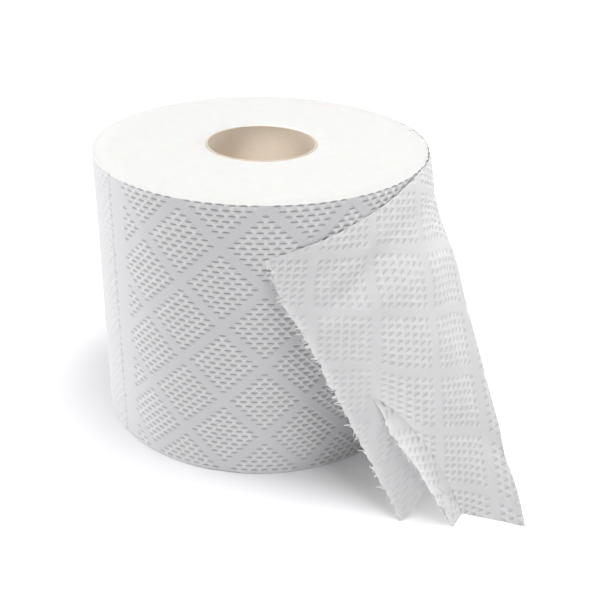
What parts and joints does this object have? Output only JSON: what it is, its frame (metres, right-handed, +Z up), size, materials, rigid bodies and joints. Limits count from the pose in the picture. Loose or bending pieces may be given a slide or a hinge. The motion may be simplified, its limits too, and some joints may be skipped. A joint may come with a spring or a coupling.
{
  "type": "toilet paper roll",
  "caption": "Roll of quilted bathroom tissue standing on end on its cardboard core, with a loose tail that flares to the floor and ends in a torn edge.",
  "frame": {"origin": "on the core's axis, at the lower end face, where the roll stands on the floor", "axes": "+Z up along the core's axis, -Y towards the viewer, +X to the side where the loose tail leaves the roll"},
  "size_m": [0.1453, 0.1459, 0.1001],
  "materials": {
    "core_board": "matte spiral-wound board",
    "tissue": "matte embossed soft tissue"
  },
  "bodies": {
    "root": {"core_tube": "core_board", "wound_paper": "tissue"}
  },
  "joints": []
}
